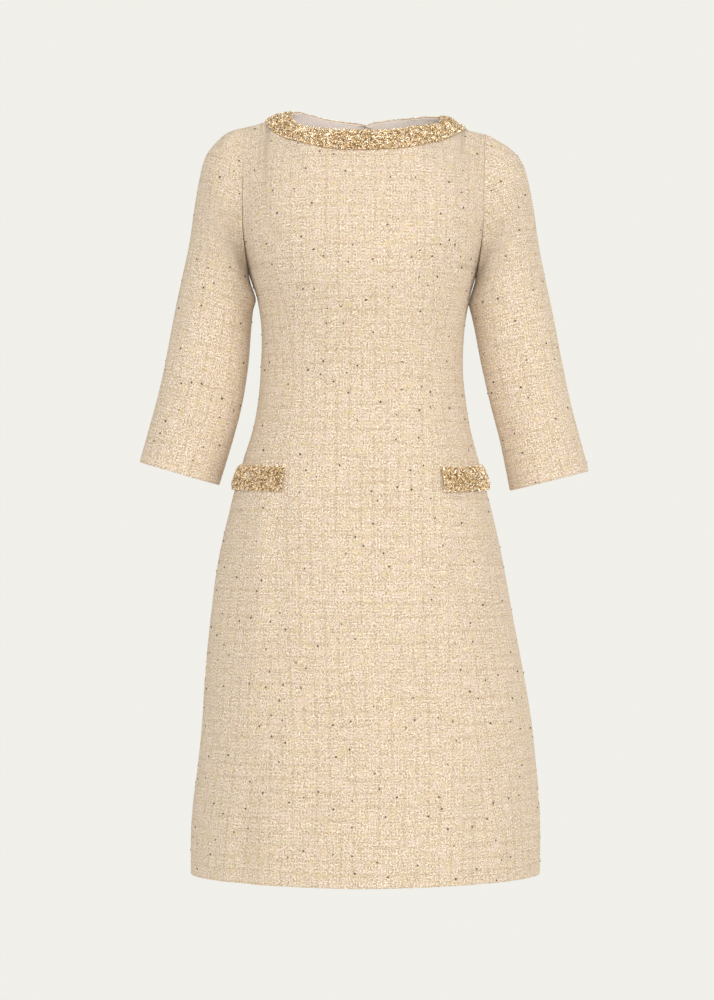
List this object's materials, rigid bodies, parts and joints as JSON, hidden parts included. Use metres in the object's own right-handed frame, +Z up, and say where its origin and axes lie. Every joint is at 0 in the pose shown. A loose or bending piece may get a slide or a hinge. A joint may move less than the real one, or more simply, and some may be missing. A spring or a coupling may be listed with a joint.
{
  "type": "a-line dress",
  "caption": "Hollow knee-length A-line dress in tweed with a beaded boat neck band, set-in three-quarter sleeves, beaded hip flaps and a back zip.",
  "frame": {"origin": "midway between the neck ends of the two shoulder seams, where the wearer's shoulders hold the dress", "axes": "+Z up towards the wearer's head, -Y towards the front of the dress, +X towards the wearer's left arm"},
  "size_m": [0.5702, 0.2993, 0.9719],
  "materials": {
    "tweed": "ivory and gold boucle tweed with a fine metallic thread",
    "beadwork": "gold seed and bugle beads sewn all over a cloth strip",
    "satin": "smooth nude satin",
    "steel": "bright steel wire",
    "gilt": "pale gold plated metal"
  },
  "bodies": {
    "dress": {"front_centre": "tweed", "side_front_left": "tweed", "side_front_right": "tweed", "back_left": "tweed", "back_right": "tweed", "sleeve_left": "tweed", "sleeve_right": "tweed", "neck_band_front": "beadwork", "neck_band_back_left": "beadwork", "neck_band_back_right": "beadwork", "neck_lining_left": "satin", "neck_lining_right": "satin", "flap_left": "beadwork", "flap_right": "beadwork", "flap_welt_left": "tweed", "flap_welt_right": "tweed", "neck_eye": "steel", "neck_hook": "steel", "zip_slider": "gilt"},
    "zip_pull_tab": {"zip_pull": "gilt"}
  },
  "joints": [
    {"name": "zip_pull_swing", "type": "hinge", "parent": "dress", "child": "zip_pull_tab", "pos_m": [0.0018, 0.09519, -0.05092], "axis": [1, 0, 0], "range_deg": [0, 150]}
  ]
}
